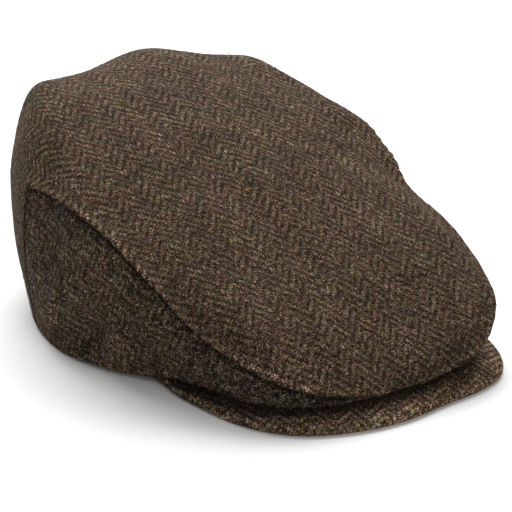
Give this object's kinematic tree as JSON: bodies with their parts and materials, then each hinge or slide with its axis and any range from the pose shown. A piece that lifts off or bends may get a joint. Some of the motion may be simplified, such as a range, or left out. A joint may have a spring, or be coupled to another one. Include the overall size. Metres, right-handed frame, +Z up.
{
  "type": "flat cap",
  "caption": "Soft flat cap of woollen herringbone cloth with a sloping top, inset side panels and a stiff rounded peak, open below for the head.",
  "frame": {"origin": "centre of the cap's box, on the table it rests on", "axes": "+Z up, the peak points to -Y, the wearer's left is +X"},
  "size_m": [0.1961, 0.2708, 0.1102],
  "materials": {
    "crown_cloth": "woollen herringbone",
    "side_cloth": "woollen herringbone",
    "peak_cloth": "woollen herringbone over a stiff board"
  },
  "bodies": {
    "root": {"crown_panel": "crown_cloth", "side_panel_right": "side_cloth", "side_panel_left": "side_cloth", "peak": "peak_cloth"}
  },
  "joints": []
}
